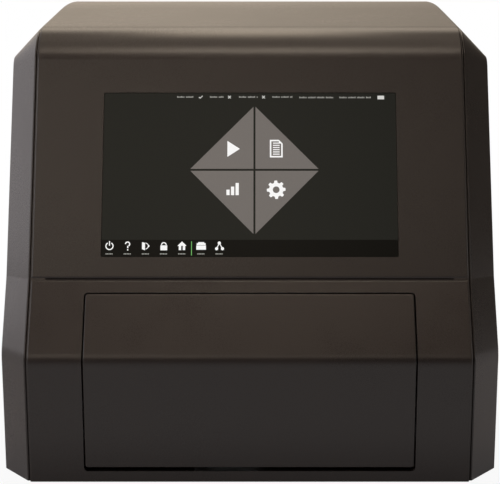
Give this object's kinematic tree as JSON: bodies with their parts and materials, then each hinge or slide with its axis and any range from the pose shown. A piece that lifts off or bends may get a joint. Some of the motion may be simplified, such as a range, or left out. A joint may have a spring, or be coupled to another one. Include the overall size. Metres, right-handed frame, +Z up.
{
  "type": "point-of-care analyzer",
  "caption": "Bench-top point-of-care analyzer: folded dark cabinet with chamfered side panels, flush touch screen and motorised loading drawer.",
  "frame": {"origin": "under the middle of the whole object, on the surface that its feet stand on", "axes": "+Z up, the screen and drawer face -Y, +X to the right of someone who looks at the screen"},
  "size_m": [0.573, 0.534, 0.607],
  "materials": {
    "cover": "satin dark brown-grey moulded cover with a very fine texture",
    "screen": "glossy black touch-screen front",
    "seal_rubber": "soft black foam seal",
    "foot_rubber": "matt black rubber",
    "belt_rubber": "black toothed belt",
    "painted_sheet": "dark powder-coated sheet",
    "bare_sheet": "zinc-plated sheet steel",
    "slide_steel": "bright zinc-plated slide steel",
    "machined_steel": "ground and turned steel",
    "machined_aluminium": "machined and anodised aluminium",
    "tray_plastic": "dark grey moulded tray",
    "nest_plastic": "light grey moulded nest",
    "black_plastic": "black moulded plastic",
    "connector_metal": "plated connector shell",
    "circuit_board": "green solder-resist board"
  },
  "bodies": {
    "cabinet": {"hood": "cover", "lower_fascia": "cover", "right_side_panel": "cover", "left_side_panel": "cover", "screen_glass": "screen", "screen_gasket": "seal_rubber", "foot_front_left": "foot_rubber", "foot_front_right": "foot_rubber", "foot_back_left": "foot_rubber", "foot_back_right": "foot_rubber", "carriage_belt": "belt_rubber", "rear_panel": "painted_sheet", "base_tray": "painted_sheet", "right_chassis_plate": "bare_sheet", "left_chassis_plate": "bare_sheet", "deck": "bare_sheet", "screen_bracket": "bare_sheet", "motor_bracket": "bare_sheet", "right_slide_bracket": "bare_sheet", "left_slide_bracket": "bare_sheet", "power_supply": "bare_sheet", "right_outer_slide": "slide_steel", "left_outer_slide": "slide_steel", "rear_screws": "machined_steel", "gantry_rail": "machined_steel", "gantry_beam": "machined_aluminium", "right_gantry_post": "machined_aluminium", "left_gantry_post": "machined_aluminium", "idler_block": "machined_aluminium", "imaging_camera": "machined_aluminium", "drawer_motor": "machined_aluminium", "carriage_motor": "machined_aluminium", "fan_housing": "black_plastic", "mains_inlet": "black_plastic", "fuse_drawer": "black_plastic", "camera_lens": "black_plastic", "light_shroud": "black_plastic", "lcd_panel": "black_plastic", "usb_ports": "connector_metal", "network_port": "connector_metal", "display_board": "circuit_board", "main_board": "circuit_board"},
    "drawer": {"drawer_front": "cover", "drawer_tray": "tray_plastic", "cartridge_nest": "nest_plastic", "heater_plate": "machined_aluminium", "drive_rack": "machined_steel", "left_inner_slide": "slide_steel", "right_inner_slide": "slide_steel"},
    "slide_middles": {"left_middle_slide": "slide_steel", "right_middle_slide": "slide_steel"},
    "pinion": {"drive_pinion": "machined_steel"},
    "fan": {"fan_rotor": "black_plastic"},
    "rocker": {"power_rocker": "black_plastic"},
    "carriage": {"gantry_carriage": "machined_aluminium"},
    "head": {"dispense_head": "machined_aluminium", "probe": "machined_steel"},
    "right_pulley": {"drive_pulley": "machined_aluminium"},
    "left_pulley": {"idler_pulley": "machined_aluminium"}
  },
  "joints": [
    {"name": "drawer_slide", "type": "slide", "parent": "cabinet", "child": "drawer", "axis": [0, -1, 0], "range_m": [0, 0.23]},
    {"name": "slide_extend", "type": "slide", "parent": "cabinet", "child": "slide_middles", "axis": [0, -1, 0], "range_m": [0, 0.115]},
    {"name": "pinion_spin", "type": "hinge", "parent": "cabinet", "child": "pinion", "pos_m": [-0.06, -0.17604, 0.02538], "axis": [1, 0, 0], "range_deg": [0, 978]},
    {"name": "fan_spin", "type": "hinge", "parent": "cabinet", "child": "fan", "pos_m": [0.12, 0.25196, 0.405], "axis": [0, 1, 0], "continuous": true},
    {"name": "rocker_tilt", "type": "hinge", "parent": "cabinet", "child": "rocker", "pos_m": [-0.19, 0.26276, 0.093], "axis": [1, 0, 0], "range_deg": [0, 16]},
    {"name": "gantry_travel", "type": "slide", "parent": "cabinet", "child": "carriage", "axis": [1, 0, 0], "range_m": [-0.13, 0.13]},
    {"name": "head_lift", "type": "slide", "parent": "carriage", "child": "head", "axis": [0, 0, -1], "range_m": [0, 0.065]},
    {"name": "right_pulley_spin", "type": "hinge", "parent": "cabinet", "child": "right_pulley", "pos_m": [0.178, -0.08834, 0.3563], "axis": [0, 1, 0], "range_deg": [-857, 857]},
    {"name": "left_pulley_spin", "type": "hinge", "parent": "cabinet", "child": "left_pulley", "pos_m": [-0.178, -0.08834, 0.3563], "axis": [0, 1, 0], "range_deg": [-857, 857]}
  ],
  "couplings": [
    {"joint": "slide_extend", "follows": "drawer_slide", "ratio": 0.5},
    {"joint": "pinion_spin", "follows": "drawer_slide", "rad_per_m": 74.074},
    {"joint": "right_pulley_spin", "follows": "gantry_travel", "rad_per_m": -114.94},
    {"joint": "left_pulley_spin", "follows": "gantry_travel", "rad_per_m": -114.94}
  ]
}
